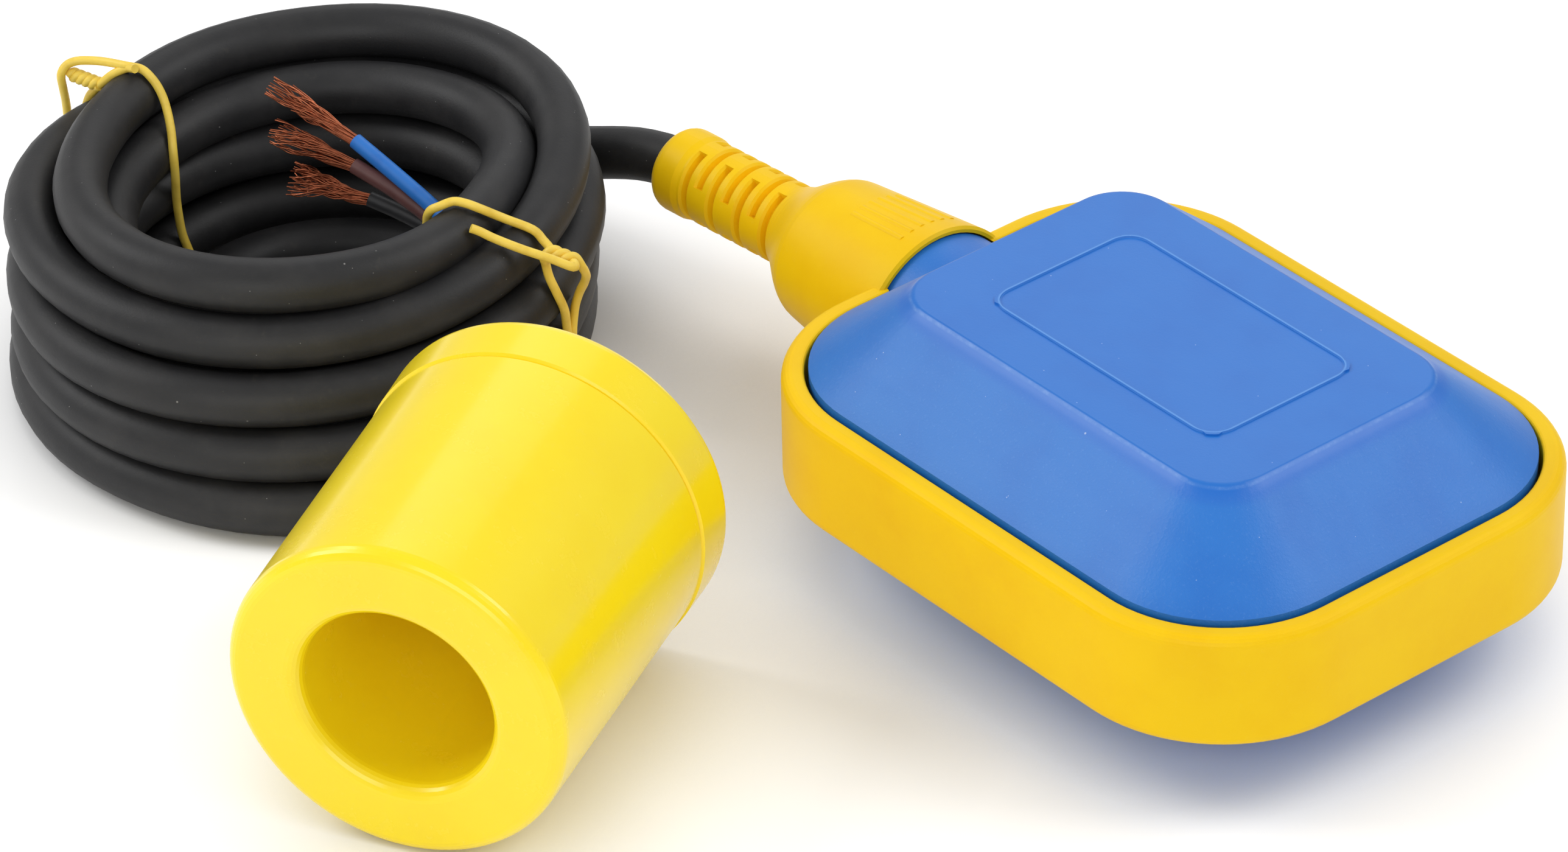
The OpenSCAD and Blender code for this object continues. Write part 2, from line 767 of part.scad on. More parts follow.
// Core inside the float, from the cable's cut end to its terminal
module inner_lead(angle, tab_side) {
    y0 = core_offset * cos(angle);
    z0 = middle + core_offset * sin(angle);
    y1 = tab_side * tab_spacing;
    z1 = middle + tab_thickness / 2 + core_radius + fit_gap;
    x0 = potting_end + 0.4;
    x1 = switch_back_x - tab_length - 0.2;
    bend = [for (i = [0 : 8]) let (t = i / 8, s = t * t * (3 - 2 * t))
        [x0 + (x1 - x0) * t, y0 + (y1 - y0) * s, z0 + (z1 - z0) * s]];
    tube(concat([[jacket_end, y0, z0]], bend, [[switch_back_x - 0.6, y1, z1]]), core_radius, 8);
}

module lead_blue() { color("#2f6ec0") inner_lead(90, 0); }
module lead_brown() { color("#6b4038") inner_lead(210, -1); }
module lead_black() { color(rubber_black) inner_lead(330, 1); }

module cable_lead() {
    color(rubber_black) tube(lead_route, cable_radius);
}

// Outer form of the coiled cable
module cable_coil() {
    corner = 4;
    top_run = 9;
    color(rubber_black)
    translate([coil_x, coil_y, 0])
        rotate_extrude()
            polygon(concat(
                arc([coil_opening + corner, corner], corner, 180, 270),
                arc([coil_radius - corner, corner], corner, 270, 360),
                arc([coil_radius - corner, coil_height - 2 * corner], corner, 0, 50),
                arc([coil_radius - corner - top_run, coil_height - corner], corner, 50, 90),
                arc([coil_opening + corner, coil_height - corner], corner, 90, 180)));
}

// Bare end: three cores and their copper strands
module core(i) {
    rod(core_starts[i], core_ends[i], core_radius, core_radius);
}

module strands(i) {
    rod(core_ends[i], strand_ends[i], core_radius - 0.3, core_radius + 0.5);
}

module core_blue() { color("#2f6ec0") core(0); }
module core_brown() { color("#6b4038") core(1); }
module core_black() { color(rubber_black) core(2); }
module strands_blue() { color(copper) strands(0); }
module strands_brown() { color(copper) strands(1); }
module strands_black() { color(copper) strands(2); }

// Wire tie over the coil at an angle seen from above, with its twisted ends
module tie(angle, tail) {
    r = tie_diameter / 2;
    inner = coil_opening - r - fit_gap;
    outer = coil_radius + r + fit_gap;
    top = coil_height + r + fit_gap;
    turn = 4;
    slope = 9;
    reach = concat(
        [for (p = arc([inner + turn, top - turn], turn, 180, 90, 4)) p],
        arc([outer - turn - slope, top - turn], turn, 90, 50, 3),
        arc([outer - turn, top - 2 * turn], turn, 50, 0, 3));
    color("#d9b23a")
    translate([coil_x, coil_y, 0]) rotate([0, 0, angle])
        tube(concat([[inner, 0, 1]], [for (p = reach) [p[0], 0, p[1]]], [[outer, 0, 12]], tail),
            r, 8, [0, 1, 0]);
}

module tie_rear() { tie(196, [[47.4, 1, 5], [48.2, 3, 3], [48.6, 5, 4]]); }
module tie_front() { tie(12, [[47.4, -1, 5], [48.2, -3, 3], [48.6, -5, 4]]); }

// Places its children with the counterweight's axis along Z, front face at zero
module weight_place() {
    translate([weight_x, weight_y, weight_front_radius * cos(weight_taper)])
        rotate([0, 0, weight_turn]) rotate([0, 90 - weight_taper, 0]) children();
}

// Radius of the counterweight's outside at a distance from its front
function weight_radius(s) = weight_front_radius
    + (weight_rear_radius - weight_front_radius) * s / weight_length;

module weight_body() {
    inner_front = weight_radius(front_wall) - weight_wall;
    inner_rear = weight_radius(seam) - weight_wall;
    color(bright_yellow)
    weight_place() rotate_extrude()
        polygon(concat(
            arc([recess_radius + recess_edge, recess_edge], recess_edge, 180, 270),
            arc([weight_radius(weight_edge) - weight_edge, weight_edge], weight_edge, 270, 360),
            [[weight_radius(seam) - 0.3, seam - 0.3], [weight_radius(seam) - 0.6, seam],
             [inner_rear, seam], [inner_front, front_wall], [tube_radius, front_wall],
             [tube_radius, seam - fit_gap], [recess_floor_radius, seam - fit_gap]]));
}

module weight_cap() {
    spigot_radius = weight_radius(seam) - weight_wall - 0.3;
    boss_radius = weight_hole_radius + boss_wall;
    boss_front = seam - boss_depth;
    color(bright_yellow)
    weight_place() rotate_extrude()
        polygon(concat(
            [[weight_hole_radius, boss_front], [boss_radius, boss_front], [boss_radius, seam],
             [spigot_radius - spigot_wall, seam],
             [spigot_radius - spigot_wall, spigot_front],
             [spigot_radius - 0.6, spigot_front], [spigot_radius, seam],
             [weight_radius(seam) - 0.6, seam], [weight_radius(seam), seam + 0.3]],
            arc([weight_radius(weight_length) - weight_edge, weight_length - weight_edge],
                weight_edge, 0, 90),
            [[weight_hole_radius, weight_length]]));
}

// Iron ring inside the counterweight
module weight_ballast() {
    front = front_wall + ballast_play;
    rear = spigot_front - ballast_play;
    inner = tube_radius + ballast_play;
    outer_wall = weight_wall + ballast_play;
    color("#5a5a58")
    weight_place() rotate_extrude()
        polygon([[inner, front], [weight_radius(front) - outer_wall, front],
                 [weight_radius(rear) - outer_wall, rear], [inner, rear]]);
}

lower_shell();
upper_shell();
band_and_boot();
potting();
carrier();
track_cover();
carrier_screws();
steel_ball();
switch_case();
switch_cover();
plunger();
lever();
lever_pin();
terminal_common();
terminal_open();
terminal_closed();
lead_blue();
lead_brown();
lead_black();
cable_entry();
cable_lead();
cable_coil();
core_blue();
core_brown();
core_black();
strands_blue();
strands_brown();
strands_black();
tie_rear();
tie_front();
weight_body();
weight_cap();
weight_ballast();
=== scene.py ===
# Cable float switch with its counterweight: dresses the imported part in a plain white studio
import json
import math
import random

import bpy
from mathutils import Matrix, Vector

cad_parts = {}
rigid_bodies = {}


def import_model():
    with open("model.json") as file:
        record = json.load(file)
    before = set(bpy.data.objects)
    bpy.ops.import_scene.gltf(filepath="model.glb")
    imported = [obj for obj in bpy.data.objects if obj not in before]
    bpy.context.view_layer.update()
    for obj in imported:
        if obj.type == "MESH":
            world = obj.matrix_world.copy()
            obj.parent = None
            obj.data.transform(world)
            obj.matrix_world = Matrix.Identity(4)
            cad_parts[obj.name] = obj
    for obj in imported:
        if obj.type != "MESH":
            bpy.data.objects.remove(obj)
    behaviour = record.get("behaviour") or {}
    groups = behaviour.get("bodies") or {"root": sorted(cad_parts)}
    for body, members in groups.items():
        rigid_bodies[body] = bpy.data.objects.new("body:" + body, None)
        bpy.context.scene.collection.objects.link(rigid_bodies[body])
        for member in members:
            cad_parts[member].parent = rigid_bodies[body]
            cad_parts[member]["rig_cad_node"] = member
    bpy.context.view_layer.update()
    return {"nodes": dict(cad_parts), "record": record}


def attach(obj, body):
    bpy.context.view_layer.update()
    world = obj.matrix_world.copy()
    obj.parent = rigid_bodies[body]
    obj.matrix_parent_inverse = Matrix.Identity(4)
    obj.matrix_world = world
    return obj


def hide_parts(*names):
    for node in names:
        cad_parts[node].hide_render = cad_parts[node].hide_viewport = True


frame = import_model()
nodes = frame["nodes"]
mm = 0.001
print("stage: frame loaded,", len(nodes), "nodes")


# Shader maths: a signal is one socket of a material's nodes, and Python's operators work on it
class Signal:
    def __init__(self, finish, socket):
        self.finish = finish
        self.socket = socket

    def __add__(self, other):
        return self.finish.maths("ADD", self, other)

    def __sub__(self, other):
        return self.finish.maths("SUBTRACT", self, other)

    def __rsub__(self, other):
        return self.finish.maths("SUBTRACT", other, self)

    def __mul__(self, other):
        return self.finish.maths("MULTIPLY", self, other)

    def __pow__(self, other):
        return self.finish.maths("POWER", self, other)

    def __abs__(self):
        return self.finish.maths("ABSOLUTE", self)

    __radd__ = __add__
    __rmul__ = __mul__

    def atLeast(self, other):
        return self.finish.maths("MAXIMUM", self, other)

    def atMost(self, other):
        return self.finish.maths("MINIMUM", self, other)

    def rising(self, low, high):
        # 0 below low, 1 above high and smooth in between
        return self.finish.node("ShaderNodeMapRange", {"interpolation_type": "SMOOTHSTEP"},
                                {"Value": self, "From Min": low, "From Max": high}, "Result")


class Finish:
    # A material being made, with its nodes and its one Principled shader
    def __init__(self, name, constants):
        self.material = bpy.data.materials.new(name)
        self.material.use_nodes = True
        self.tree = self.material.node_tree
        self.shader = self.tree.nodes["Principled BSDF"]
        for socket, value in constants.items():
            self.shader.inputs[socket].default_value = value
        self.place = self.node("ShaderNodeTexCoord", {}, {}, "Object")

    def feed(self, socket, value):
        if isinstance(value, Signal):
            self.tree.links.new(value.socket, socket)
        elif socket.type == "RGBA":
            socket.default_value = (*value, 1)
        else:
            socket.default_value = value

    def node(self, kind, settings, values, output=0):
        made = self.tree.nodes.new(kind)
        for name, value in settings.items():
            setattr(made, name, value)
        for name, value in values.items():
            self.feed(made.inputs[name], value)
        return Signal(self, made.outputs[output])

    def maths(self, operation, *values):
        return self.node("ShaderNodeMath", {"operation": operation}, dict(enumerate(values)))

    def mix(self, factor, first, second):
        # A Mix node has its colours at the sockets 6 and 7, and at the output 2
        return self.node("ShaderNodeMix", {"data_type": "RGBA"},
                         {0: factor, 6: first, 7: second}, 2)

    def coordinates(self):
        # The place on the piece along X, Y and Z, in metres
        split = self.node("ShaderNodeSeparateXYZ", {}, {"Vector": self.place}, "X").socket.node
        return [Signal(self, split.outputs[axis]) for axis in "XYZ"]

    def stretched(self, factors):
        # The place with each direction scaled, for streaks
        return self.node("ShaderNodeVectorMath", {"operation": "MULTIPLY"},
                         {0: self.place, 1: factors})

    def noise(self, size, detail, roughness, place=None):
        # Soft mottling whose patches are about size metres across; settings hold the first three
        return self.node("ShaderNodeTexNoise", {},
                         {"Vector": place or self.place, "Scale": 1 / size, "Detail": detail,
                          "Roughness": roughness}, "Fac")

    def specks(self, spacing, size, share):
        # Small round specks in the given share of the cells of a random grid
        solidPart = 0.4
        chanceStep = 0.001
        cells = self.node("ShaderNodeTexVoronoi", {}, {"Vector": self.place, "Scale": 1 / spacing},
                          "Distance")
        chance = self.node("ShaderNodeSeparateColor", {},
                           {"Color": Signal(self, cells.socket.node.outputs["Color"])}, "Red")
        speck = 1 - cells.rising(solidPart * size / spacing, size / spacing)
        return speck * chance.rising(1 - share, 1 + chanceStep - share)

    def dust(self, coarse, fine):
        # Specks of two grades, each given as spacing, size and share
        return (self.specks(*coarse) + self.specks(*fine)).atMost(1)

    def bump(self, height, depth):
        return self.node("ShaderNodeBump", {}, {"Height": height, "Distance": depth}, "Normal")

    def done(self, values):
        for socket, value in values.items():
            self.feed(self.shader.inputs[socket], value)
        return self.material


# Float shells: blue, smooth on the flat faces and finely grained on the slopes, with painted sheen,
# highlights and shade. Lengths are metres
shellSettings = {
    "colour": (0.011, 0.160, 0.575),
    # The slopes' blue is a little lighter than the flat face's: a painted sheen
    "slopeSheenColour": (0.015, 0.170, 0.585),
    # Darker blue, used for the random mottle and for the painted shade at the slopes' foot
    "deepColour": (0.006, 0.130, 0.520),
    "edgeShadeColour": (0.006, 0.130, 0.560),
    # Painted shade: a deeper blue along the soft edge round the flat face, where less light is
    # reflected
    "grainColour": (0.22, 0.42, 0.78),
    # Lighter blue on the flat face's rim: a thin painted highlight all round, plus real wear in
    # patches
    "wearAndHighlightColour": (0.28, 0.48, 0.80),
    # Painted highlight: a lighter blue on the raised frame's fine line
    "frameHighlightColour": (0.10, 0.31, 0.74),
    "dustColour": (0.62, 0.72, 0.86),
    "height": 0.043,
    # Length, width and corner radius
    "flatFace": (0.069, 0.0454, 0.008),
    "frame": (0.0463, 0.0269, 0.0038),
    # The two ends of each band's soft border
    "slopeBelowFace": (0.0014, 0.0006),
    # Where the painted shade at the slopes' foot fades out
    "footFromMiddle": (0.0075, 0.0115),
    "frameFromMiddle": (0.0212, 0.0214),
    "frameLine": (0.0001, 0.0003),
    "softEdge": (0.0003, 0.0016),
    "softEdgeOutside": 0.0006,
    "rim": (0.00005, 0.0003),
    "rimInside": 0.0002,
    # Each noise, and the values between which it takes effect
    "mottle": (0.012, 3, 0.5),
    "mottleRange": (0.4, 0.8),
    "grain": (0.00042, 3, 0.7),
    "grainRange": (0.55, 0.8),
    "wear": (0.0016, 4, 0.7),
    "wearRange": (0.42, 0.7),
    "streaks": (0.004, 3, 0.6),
    "streakStretch": (0.25, 3, 1),
    "dust": [(0.0052, 0.00022, 0.3), (0.0022, 0.00012, 0.2)],
    # How much of each colour shows
    "mottleShare": 0.5,
    "footShadeShare": 0.6,
    "grainShare": 0.16,
    "softEdgeShadeShare": 0.6,
    "rimHighlightShare": 0.06,
    "wearShare": 0.2,
    "frameHighlightShare": 0.7,
    "dustShare": 0.5,
    "roughness": 0.34,
    "slopeRoughness": 0.07,
    "streakRoughness": 0.05,
    "grainRoughness": 0.04,
    "grainDepth": 0.00005,
    "flatGrain": 0.35,
}


def roundedEdge(x, y, length, width, corner):
    # Distance outside a rounded rectangle, below zero inside it
    outX = abs(x) - (length / 2 - corner)
    outY = abs(y) - (width / 2 - corner)
    beyond = (outX.atLeast(0) ** 2 + outY.atLeast(0) ** 2) ** 0.5
    return beyond + outX.atLeast(outY).atMost(0) - corner


def shellBlue(settings):
    finish = Finish("shell_blue", {})
    x, y, z = finish.coordinates()
    fromMiddle = abs(z - settings["height"] / 2)
    slopeStart, slopeEnd = (settings["height"] / 2 - depth for depth in settings["slopeBelowFace"])
    slope = 1 - fromMiddle.rising(slopeStart, slopeEnd)
    # Painted shade: the slopes' foot by the band is darkened
    footShade = 1 - fromMiddle.rising(*settings["footFromMiddle"])
    edge = roundedEdge(x, y, *settings["flatFace"])
    # Painted shade along the flat face's soft edge
    softEdge = 1 - abs(edge - settings["softEdgeOutside"]).rising(*settings["softEdge"])
    # Rim of the flat face: a painted highlight line, stronger where worn
    rim = 1 - abs(edge + settings["rimInside"]).rising(*settings["rim"])
    frameEdge = roundedEdge(x, y, *settings["frame"])
    # The frame's line, painted lighter as a highlight
    line = 1 - abs(frameEdge).rising(*settings["frameLine"])
    onFace = fromMiddle.rising(*settings["frameFromMiddle"])
    mottle = finish.noise(*settings["mottle"]).rising(*settings["mottleRange"])
    grain = finish.noise(*settings["grain"])
    wear = finish.noise(*settings["wear"]).rising(*settings["wearRange"])
    streaks = finish.noise(*settings["streaks"], finish.stretched(settings["streakStretch"]))
    dust = finish.dust(*settings["dust"])
    # The slopes start from the lighter blue, a painted sheen
    colour = finish.mix(slope, settings["colour"], settings["slopeSheenColour"])
    for amount, other in (
            (mottle * settings["mottleShare"], "deepColour"),
            # Painted shade at the slopes' foot
            (footShade * settings["footShadeShare"], "deepColour"),
            (slope * grain.rising(*settings["grainRange"]) * settings["grainShare"], "grainColour"),
            # Painted shade along the soft edge
            (softEdge * settings["softEdgeShadeShare"], "edgeShadeColour"),
            # Painted highlight on the rim, with wear
            (rim * (settings["rimHighlightShare"] + settings["wearShare"] * wear), "wearAndHighlightColour"),
            # Painted highlight on the frame's line
            (line * onFace * settings["frameHighlightShare"], "frameHighlightColour"),
            (dust * settings["dustShare"], "dustColour")):
        colour = finish.mix(amount, colour, settings[other])
    return finish.done({
        "Base Color": colour,
        "Roughness": (settings["roughness"] + settings["slopeRoughness"] * slope
                      + settings["streakRoughness"] * streaks + settings["grainRoughness"] * grain),
        "Normal": finish.bump(grain * (settings["flatGrain"] + (1 - settings["flatGrain"]) * slope),
                              settings["grainDepth"]),
    })


# Moulded yellow plastics: the band with its boot is satin, the counterweight is glossy
yellowSettings = {
    "band_yellow": {
        "colour": (0.900, 0.570, 0.004), "deepColour": (0.840, 0.480, 0.002),
        "roughness": 0.40, "grain": (0.0005, 3, 0.65), "grainDepth": 0.00002, "coat": 0.0,
        "sheen": 0.14, "specks": (0.006, 0.00016, 0.12),
    },
    "weight_yellow": {
        "colour": (0.990, 0.760, 0.008), "deepColour": (0.970, 0.700, 0.005),
        "roughness": 0.22, "grain": (0.0012, 3, 0.65), "grainDepth": 0.000008, "coat": 0.35,
        "sheen": 0.35, "specks": (0.006, 0.00016, 0.08),
    },
}
# What both share
yellowMoulding = {
    "coatRoughness": 0.14,
    "mottle": (0.014, 4, 0.55),
    "mottleRange": (0.35, 0.75),
    "mottleShare": 0.5,
    "mottleHeight": 2,
    "flow": (0.006, 2, 0.5),
    "flowStretch": (0.3, 1, 1),
    "flowRoughness": 0.08,
    "grainColour": (1, 0.82, 0.2),
    "grainRange": (0.55, 0.8),
    "grainShare": 0.06,
    "grainRoughness": 0.05,
    "speckColour": (0.30, 0.20, 0.03),
    "speckShare": 0.5,
}


def mouldedYellow(name, settings):
    finish = Finish(name, {"Specular IOR Level": settings["sheen"], "Coat Weight": settings["coat"],
                           "Coat Roughness": settings["coatRoughness"]})
    mottle = finish.noise(*settings["mottle"])
    flow = finish.noise(*settings["flow"], finish.stretched(settings["flowStretch"]))
    grain = finish.noise(*settings["grain"])
    colour = finish.mix(mottle.rising(*settings["mottleRange"]) * settings["mottleShare"],
                        settings["colour"], settings["deepColour"])
    colour = finish.mix(grain.rising(*settings["grainRange"]) * settings["grainShare"],
                        colour, settings["grainColour"])
    colour = finish.mix(finish.specks(*settings["specks"]) * settings["speckShare"],
                        colour, settings["speckColour"])
    return finish.done({
        "Base Color": colour,
        "Roughness": (settings["roughness"] + settings["flowRoughness"] * flow
                      + settings["grainRoughness"] * (grain - 0.5)),
        "Normal": finish.bump(grain + settings["mottleHeight"] * mottle, settings["grainDepth"]),
    })


# Cable jacket: dull black rubber with handling marks and dust
jacketSettings = {
    "colour": (0.013, 0.013, 0.014),
    "rubbedColour": (0.030, 0.029, 0.029),
    "smearColour": (0.12, 0.10, 0.075),
    "dustColour": (0.34, 0.33, 0.32),
    "sheen": 0.4,
    "rubbed": (0.010, 4, 0.6),
    "rubbedRange": (0.4, 0.75),
    "rubbedShare": 0.6,
    "smear": (0.003, 4, 0.65),
    "smearRange": (0.6, 0.8),
    "smearShare": 0.12,
    "dust": [(0.0042, 0.0002, 0.3), (0.0016, 0.0001, 0.3)],
    "dustShare": 0.6,
    "roughness": 0.48,
    "rubbedRoughness": 0.16,
    "smearPolish": 0.05,
    "grain": (0.0004, 3, 0.7),
    "grainDepth": 0.00003,
}


def cableRubber(settings):
    finish = Finish("cable_rubber", {"Specular IOR Level": settings["sheen"]})
    rubbed = finish.noise(*settings["rubbed"])
    smear = finish.noise(*settings["smear"])
    colour = finish.mix(rubbed.rising(*settings["rubbedRange"]) * settings["rubbedShare"],
                        settings["colour"], settings["rubbedColour"])
    colour = finish.mix(smear.rising(*settings["smearRange"]) * settings["smearShare"],
                        colour, settings["smearColour"])
    colour = finish.mix(finish.dust(*settings["dust"]) * settings["dustShare"],
                        colour, settings["dustColour"])
    return finish.done({
        "Base Color": colour,
        "Roughness": (settings["roughness"] + settings["rubbedRoughness"] * rubbed
                      - settings["smearPolish"] * smear),
        "Normal": finish.bump(finish.noise(*settings["grain"]), settings["grainDepth"]),
    })


# Smaller plastics: the cores' insulation, the tie wire's coating and the parts inside the float
plasticSettings = {
    "core_blue": {"colour": (0.024, 0.175, 0.57), "shade": (0.015, 0.12, 0.45), "roughness": 0.42},
    "core_brown": {"colour": (0.12, 0.05, 0.046), "shade": (0.075, 0.03, 0.028), "roughness": 0.45},
    "core_black": {"colour": (0.022, 0.022, 0.024), "shade": [0.012] * 3, "roughness": 0.45},
    "tie_wire": {"colour": (0.9, 0.65, 0.09), "shade": (0.74, 0.49, 0.045), "roughness": 0.46},
    "resin": {"colour": (0.56, 0.43, 0.24), "shade": (0.4, 0.29, 0.14), "roughness": 0.3},
    "carrier_white": {"colour": (0.78, 0.78, 0.75), "shade": (0.64, 0.64, 0.6), "roughness": 0.45},
    "switch_black": {"colour": (0.026, 0.026, 0.028), "shade": (0.014, 0.014, 0.015),
                     "roughness": 0.5},
    "switch_red": {"colour": (0.42, 0.035, 0.025), "shade": (0.28, 0.018, 0.014),
                   "roughness": 0.45},
    "plunger_ivory": {"colour": (0.74, 0.68, 0.52), "shade": (0.6, 0.52, 0.36), "roughness": 0.4},
}
# What they share
plasticMoulding = {
    "sheen": 0.45,
    "mottle": (0.0028, 4, 0.6),
    "mottleRange": (0.4, 0.8),
    "mottleShare": 0.7,
    "mottleRoughness": 0.1,
    "grain": (0.0004, 2, 0.6),
    "depth": 0.00002,
    "specks": (0.003, 0.00014, 0.15),
    "speckColour": (0.55, 0.55, 0.52),
    "speckShare": 0.4,
}


def mouldedPlastic(name, settings):
    finish = Finish(name, {"Specular IOR Level": settings["sheen"]})
    mottle = finish.noise(*settings["mottle"])
    colour = finish.mix(mottle.rising(*settings["mottleRange"]) * settings["mottleShare"],
                        settings["colour"], settings["shade"])
    colour = finish.mix(finish.specks(*settings["specks"]) * settings["speckShare"],
                        colour, settings["speckColour"])
    return finish.done({
        "Base Color": colour,
        "Roughness": settings["roughness"] + settings["mottleRoughness"] * (mottle - 0.5),
        "Normal": finish.bump(finish.noise(*settings["grain"]) + mottle, settings["depth"]),
    })


# Metals: copper strands, turned and pressed steel, brass and cast iron
metalSettings = {
    "copper": {"colour": (0.47, 0.15, 0.074), "shade": (0.18, 0.044, 0.022), "roughness": 0.36,
               "patch": 0.0016, "streak": (1, 1, 1), "depth": 0.00001},
    "screw_steel": {"colour": (0.64, 0.64, 0.62), "shade": (0.5, 0.48, 0.42), "roughness": 0.34,
                    "patch": 0.002, "streak": (1, 1, 0.2), "depth": 0.00001},
    "ball_steel": {"colour": (0.7, 0.7, 0.71), "shade": (0.6, 0.6, 0.61), "roughness": 0.12,
                   "patch": 0.006, "streak": (1, 1, 1), "depth": 0.000002},
    "spring_steel": {"colour": (0.62, 0.63, 0.64), "shade": (0.48, 0.48, 0.49), "roughness": 0.28,
                     "patch": 0.0012, "streak": (4, 0.2, 4), "depth": 0.000006},
    "tab_brass": {"colour": (0.76, 0.56, 0.24), "shade": (0.56, 0.38, 0.14), "roughness": 0.3,
                  "patch": 0.0016, "streak": (0.2, 4, 4), "depth": 0.000006},
    "ballast_iron": {"colour": (0.17, 0.16, 0.15), "shade": (0.17, 0.085, 0.045), "roughness": 0.62,
                     "patch": 0.003, "streak": (1, 1, 1), "depth": 0.00012},
}
# What they share
metalSurface = {
    "patchDetail": (4, 0.6),
    "patchRange": (0.45, 0.75),
    "patchShare": 0.8,
    "patchRoughness": 0.16,
    "fineRatio": 6,
    "fineDetail": (3, 0.7),
    "fineRoughness": 0.08,
    "dullRange": (0.6, 0.8),
    "dullShare": 0.3,
}


def bareMetal(name, settings):
    finish = Finish(name, {})
    place = finish.stretched(settings["streak"])
    patches = finish.noise(settings["patch"], *settings["patchDetail"], place)
    fine = finish.noise(settings["patch"] / settings["fineRatio"], *settings["fineDetail"], place)
    return finish.done({
        "Base Color": finish.mix(patches.rising(*settings["patchRange"]) * settings["patchShare"],
                                 settings["colour"], settings["shade"]),
        "Metallic": 1 - settings["dullShare"] * patches.rising(*settings["dullRange"]),
        "Roughness": (settings["roughness"] + settings["patchRoughness"] * (patches - 0.5)
                      + settings["fineRoughness"] * (fine - 0.5)),
        "Normal": finish.bump(fine + patches, settings["depth"]),
    })


finishes = {"shell_blue": shellBlue(shellSettings), "cable_rubber": cableRubber(jacketSettings)}
for name, settings in yellowSettings.items():
    finishes[name] = mouldedYellow(name, {**yellowMoulding, **settings})
for name, settings in plasticSettings.items():
    finishes[name] = mouldedPlastic(name, {**plasticMoulding, **settings})
for name, settings in metalSettings.items():
    finishes[name] = bareMetal(name, {**metalSurface, **settings})
for row in frame["record"]["subparts"]:
    nodes[row["node"]].data.materials.clear()
    nodes[row["node"]].data.materials.append(finishes[row["material_slot"]])
print("stage: finishes,", len(finishes))


# Upper shell: the same solid with the raised frame on its flat top narrowed to a fine line
frameSettings = {
    # Length and width inside the frame's line, as packed and as narrowed, in millimetres
    "innerSize": (45.2, 25.8),
    "narrowSize": (46, 26.6),
    "sideMargin": 0.15,
    "faceMargin": 0.05,
    "mergeDistance": 0.01,
    "smoothAngle": 30,
    "normalWeight": 100,
}


def addUpperShell(settings):
    bpy.ops.object.select_all(action="DESELECT")
    shell = nodes["upper_shell"].copy()
    shell.data = shell.data.copy()
    shell.name = shell.data.name = "upperShellFace"
    del shell["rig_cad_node"]
    bpy.context.scene.collection.objects.link(shell)
    shell.select_set(True)
    bpy.context.view_layer.objects.active = shell
    bpy.ops.object.mode_set(mode="EDIT")
    bpy.ops.mesh.select_all(action="SELECT")
    bpy.ops.mesh.remove_doubles(threshold=mm * settings["mergeDistance"])
    bpy.ops.mesh.select_all(action="DESELECT")
    bpy.ops.object.mode_set(mode="OBJECT")
    halfLength, halfWidth = (mm * (size / 2 + settings["sideMargin"])
                             for size in settings["innerSize"])
    faceLevel = shellSettings["height"] - mm * settings["faceMargin"]
    for vertex in shell.data.vertices:
        x, y, z = vertex.co
        vertex.select = z > faceLevel and abs(x) < halfLength and abs(y) < halfWidth
    bpy.ops.object.mode_set(mode="EDIT")
    growth = [narrow / inner
              for narrow, inner in zip(settings["narrowSize"], settings["innerSize"])]
    bpy.ops.transform.resize(value=(*growth, 1), center_override=(0, 0, shellSettings["height"]))
    bpy.ops.object.mode_set(mode="OBJECT")
    bpy.ops.mesh.customdata_custom_splitnormals_clear()
    bpy.ops.object.shade_smooth_by_angle(angle=math.radians(settings["smoothAngle"]))
    bpy.ops.object.modifier_add(type="WEIGHTED_NORMAL")
    shell.modifiers[-1].weight = settings["normalWeight"]
    shell.modifiers[-1].keep_sharp = True
    bpy.ops.object.modifier_apply(modifier=shell.modifiers[-1].name)
    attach(shell, "housing")
    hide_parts("upper_shell")


addUpperShell(frameSettings)
print("stage: upper shell")


# Camera at the photograph's viewing angle
cameraSettings = {
    "position": (0.6726, -0.6167, 0.64306),
    "azimuth": 50.87,
    "elevation": 33.99,
    "roll": -1.18,
    "lens": 180.58,
    "sensorWidth": 36,
    "clip": (0.05, 20),
}


def addCamera(settings):
    bpy.ops.object.camera_add()
    camera = bpy.context.object
    camera.name = "photoCamera"
    camera.data.lens = settings["lens"]
    camera.data.sensor_width = settings["sensorWidth"]
    camera.data.clip_start, camera.data.clip_end = settings["clip"]
    turn = Matrix.Rotation(math.radians(settings["azimuth"]), 4, "Z")
    lift = Matrix.Rotation(math.radians(90 - settings["elevation"]), 4, "X")
    roll = Matrix.Rotation(math.radians(settings["roll"]), 4, "Z")
    camera.matrix_world = Matrix.Translation(settings["position"]) @ turn @ lift @ roll
    bpy.context.scene.camera = camera


addCamera(cameraSettings)
print("stage: camera")


# Wires and cords: round tubes along smooth routes
def smoothPath(points, steps):
    # Catmull-Rom curve through the points
    points = [Vector(point) for point in points]
    ends = [2 * points[0] - points[1], *points, 2 * points[-1] - points[-2]]
    path = []
    for before, here, after, later in zip(ends, ends[1:], ends[2:], ends[3:]):
        for step in range(steps):
            t = step / steps
            path.append(0.5 * (2 * here + (after - before) * t
                               + (2 * before - 5 * here + 4 * after - later) * t ** 2
                               + (3 * here - before - 3 * after + later) * t ** 3))
    return [*path, points[-1]]


